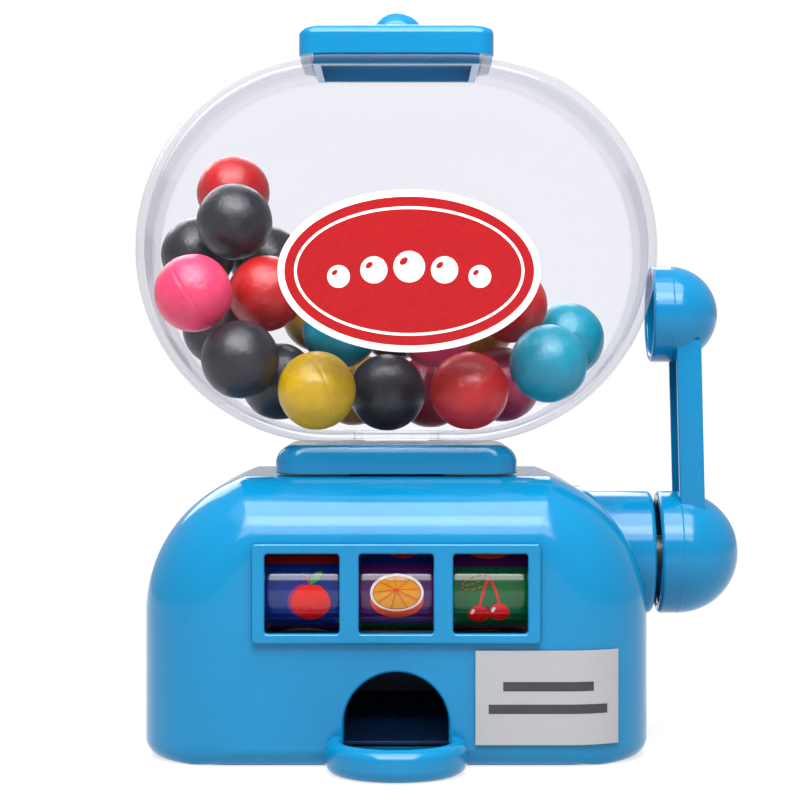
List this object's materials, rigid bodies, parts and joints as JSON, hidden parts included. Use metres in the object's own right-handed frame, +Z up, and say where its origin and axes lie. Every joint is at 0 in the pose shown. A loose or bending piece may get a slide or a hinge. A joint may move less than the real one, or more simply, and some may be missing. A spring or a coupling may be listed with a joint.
{
  "type": "gumball machine",
  "caption": "Toy gumball dispenser: clear oval bowl on a rounded base with fruit reels, a side pull lever, a metering barrel, a chute and a catch tray.",
  "frame": {"origin": "middle of the flat underside of the base", "axes": "+Z up, -Y out of the front with the reel windows and the tray, +X to the lever's side"},
  "size_m": [0.1015, 0.0653, 0.124],
  "materials": {
    "blue_plastic": "glossy moulded sky blue",
    "white_plastic": "plain moulded",
    "steel": "plated",
    "clear_plastic": "clear, polished",
    "reel_print": "printed film, glossy",
    "badge_print": "printed film, glossy",
    "label_paper": "coated paper",
    "gum_red": "candy shell, satin",
    "gum_black": "candy shell, satin",
    "gum_pink": "candy shell, satin",
    "gum_yellow": "candy shell, satin",
    "gum_ochre": "candy shell, satin",
    "gum_teal": "candy shell, satin",
    "gum_crimson": "candy shell, satin"
  },
  "bodies": {
    "root": {"base_housing": "blue_plastic", "back_cover": "blue_plastic", "base_plate": "blue_plastic", "reel_bezel": "blue_plastic", "catch_tray": "blue_plastic", "bowl_saddle": "blue_plastic", "lever_boss": "blue_plastic", "ball_chute": "blue_plastic", "barrel_shroud": "blue_plastic", "throat_funnel": "white_plastic", "barrel_bearing": "white_plastic", "reel_bracket_left": "white_plastic", "reel_bracket_right": "white_plastic", "return_spring": "steel", "idler_pin": "steel", "back_screw_1": "steel", "back_screw_2": "steel", "back_screw_3": "steel", "back_screw_4": "steel", "base_screw_1": "steel", "base_screw_2": "steel", "bowl_front": "clear_plastic", "bowl_rear": "clear_plastic", "bowl_badge": "badge_print", "paper_label": "label_paper", "gumball_01": "gum_red", "gumball_02": "gum_black", "gumball_03": "gum_black", "gumball_04": "gum_black", "gumball_05": "gum_pink", "gumball_06": "gum_red", "gumball_07": "gum_black", "gumball_08": "gum_black", "gumball_09": "gum_black", "gumball_10": "gum_yellow", "gumball_11": "gum_ochre", "gumball_12": "gum_teal", "gumball_13": "gum_ochre", "gumball_14": "gum_black", "gumball_15": "gum_black", "gumball_16": "gum_pink", "gumball_17": "gum_crimson", "gumball_18": "gum_red", "gumball_19": "gum_ochre", "gumball_20": "gum_red", "gumball_21": "gum_crimson", "gumball_22": "gum_teal", "gumball_23": "gum_teal", "gumball_24": "gum_black"},
    "lever": {"lever_handle": "blue_plastic", "lever_shaft": "steel", "metering_barrel": "white_plastic", "drive_gear": "white_plastic"},
    "idler": {"idler_gear": "white_plastic"},
    "reels": {"reel_left": "reel_print", "reel_middle": "reel_print", "reel_right": "reel_print", "reel_shaft": "steel", "reel_pinion": "white_plastic"},
    "lid": {"refill_lid": "blue_plastic"}
  },
  "joints": [
    {"name": "lever_pull", "type": "hinge", "parent": "root", "child": "lever", "pos_m": [0, 0.005, 0.032], "axis": [1, 0, 0], "range_deg": [0, 110], "stiffness_Nm_per_rad": 0.005, "springref_deg": -17.19},
    {"name": "idler_turn", "type": "hinge", "parent": "root", "child": "idler", "pos_m": [0, -0.00677, 0.02959], "axis": [1, 0, 0], "range_deg": [-220, 0]},
    {"name": "reel_turn", "type": "hinge", "parent": "root", "child": "reels", "pos_m": [0, -0.0158, 0.02775], "axis": [1, 0, 0], "range_deg": [0, 169.5]},
    {"name": "lid_lift", "type": "slide", "parent": "root", "child": "lid", "axis": [0, 0, 1], "range_m": [0, 0.025]}
  ],
  "couplings": [
    {"joint": "idler_turn", "follows": "lever_pull", "ratio": -2},
    {"joint": "reel_turn", "follows": "lever_pull", "ratio": 1.5385}
  ]
}
